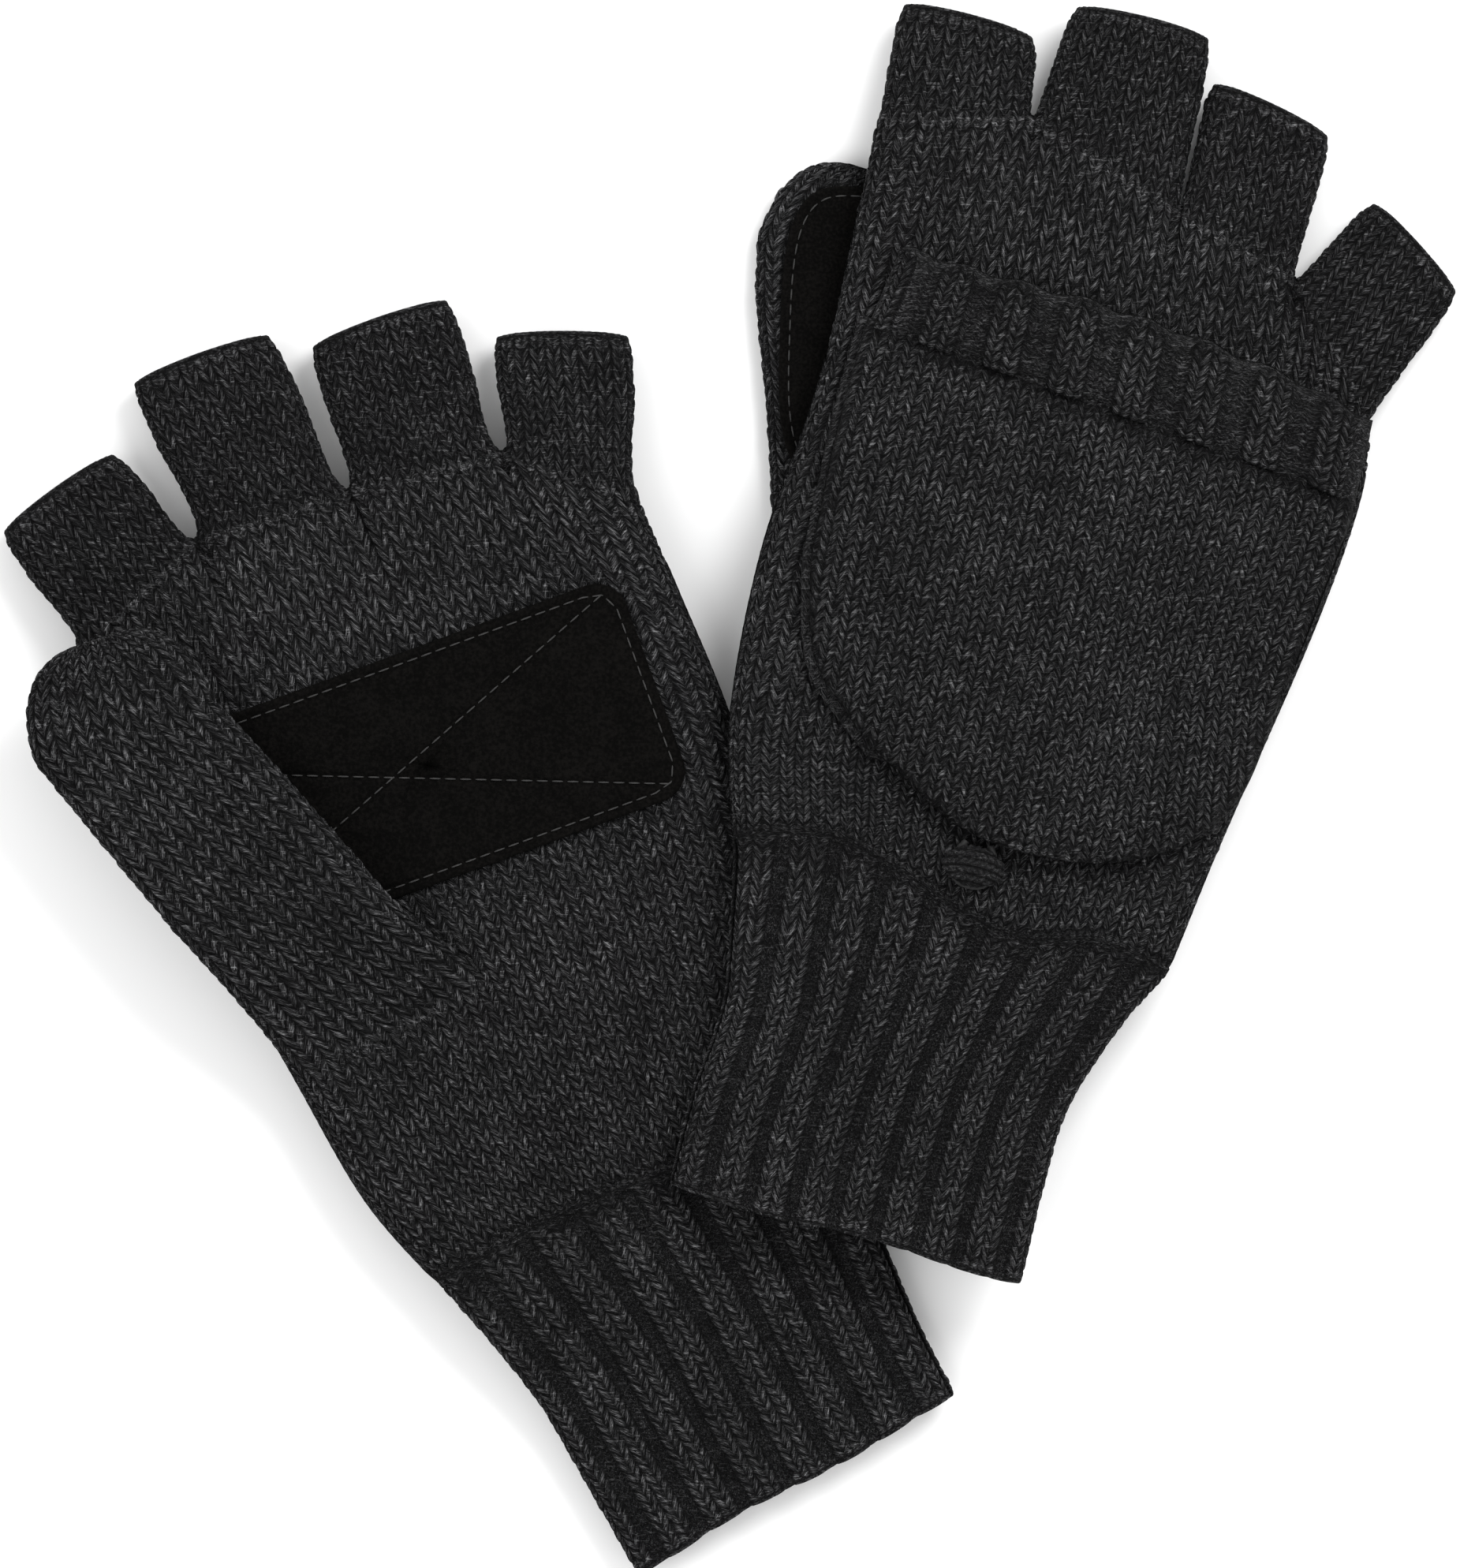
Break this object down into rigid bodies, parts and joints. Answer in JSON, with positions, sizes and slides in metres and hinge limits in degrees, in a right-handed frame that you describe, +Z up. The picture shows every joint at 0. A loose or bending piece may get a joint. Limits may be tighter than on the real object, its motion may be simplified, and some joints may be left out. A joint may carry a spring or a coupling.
{
  "type": "convertible flip-top mittens",
  "caption": "Knitted fingerless gloves with flip-top mitten covers buttoned back, folded thumbs, suede palm patches and ribbed cuffs.",
  "frame": {"origin": "middle of the pair's footprint, on the table", "axes": "+Z up from the table, +Y from the cuffs towards the fingertips (between the two mittens' directions), +X towards the right mitten"},
  "size_m": [0.2924, 0.3126, 0.0363],
  "materials": {
    "wool_knit": "charcoal heathered stocking-stitch wool, matt and slightly hairy",
    "wool_rib": "the same charcoal wool in a rib stitch",
    "suede": "black suede with a short nap",
    "thread": "dark grey sewing thread",
    "elastic_cord": "thin black elastic cord"
  },
  "bodies": {
    "left_mitten": {"left_hand": "wool_knit", "left_cuff": "wool_rib", "left_index_stall": "wool_knit", "left_middle_stall": "wool_knit", "left_ring_stall": "wool_knit", "left_little_stall": "wool_knit", "left_palm_patch": "suede", "left_palm_patch_stitching": "thread", "left_button": "wool_knit"},
    "left_thumb": {"left_thumb": "wool_knit", "left_thumb_patch": "suede", "left_thumb_patch_stitching": "thread"},
    "left_flip_top": {"left_flip_top_inner_layer": "wool_knit", "left_flip_top_outer_layer": "wool_knit", "left_flip_top_hem": "wool_rib", "left_button_loop": "elastic_cord"},
    "right_mitten": {"right_hand": "wool_knit", "right_cuff": "wool_rib", "right_index_stall": "wool_knit", "right_middle_stall": "wool_knit", "right_ring_stall": "wool_knit", "right_little_stall": "wool_knit", "right_palm_patch": "suede", "right_palm_patch_stitching": "thread", "right_button": "wool_knit"},
    "right_thumb": {"right_thumb": "wool_knit", "right_thumb_patch": "suede", "right_thumb_patch_stitching": "thread"},
    "right_flip_top": {"right_flip_top_inner_layer": "wool_knit", "right_flip_top_outer_layer": "wool_knit", "right_flip_top_hem": "wool_rib", "right_button_loop": "elastic_cord"}
  },
  "joints": [
    {"name": "right_mitten_lift", "type": "slide", "parent": "left_mitten", "child": "right_mitten", "axis": [0, 0, 1], "range_m": [0, 0.08]},
    {"name": "left_flip_top_turn", "type": "hinge", "parent": "left_mitten", "child": "left_flip_top", "pos_m": [-0.06067, 0.01754, 0.00705], "axis": [0.9422, 0.335, 0], "range_deg": [0, 172], "deforming": ["left_flip_top_outer_layer", "left_flip_top_hem", "left_button_loop"]},
    {"name": "left_thumb_fold", "type": "hinge", "parent": "left_mitten", "child": "left_thumb", "pos_m": [-0.11898, -0.02068, 0.02071], "axis": [0.6242, -0.7812, 0], "range_deg": [0, 150]},
    {"name": "right_flip_top_turn", "type": "hinge", "parent": "right_mitten", "child": "right_flip_top", "pos_m": [0.07685, 0.07771, 0.02371], "axis": [-0.9515, 0.3078, 0], "range_deg": [0, 180], "deforming": ["right_flip_top_outer_layer", "right_flip_top_hem", "right_button_loop"]},
    {"name": "right_thumb_fold", "type": "hinge", "parent": "right_mitten", "child": "right_thumb", "pos_m": [0.00529, 0.07975, 0.01001], "axis": [0.0056, 1, 0], "range_deg": [0, 150]}
  ]
}
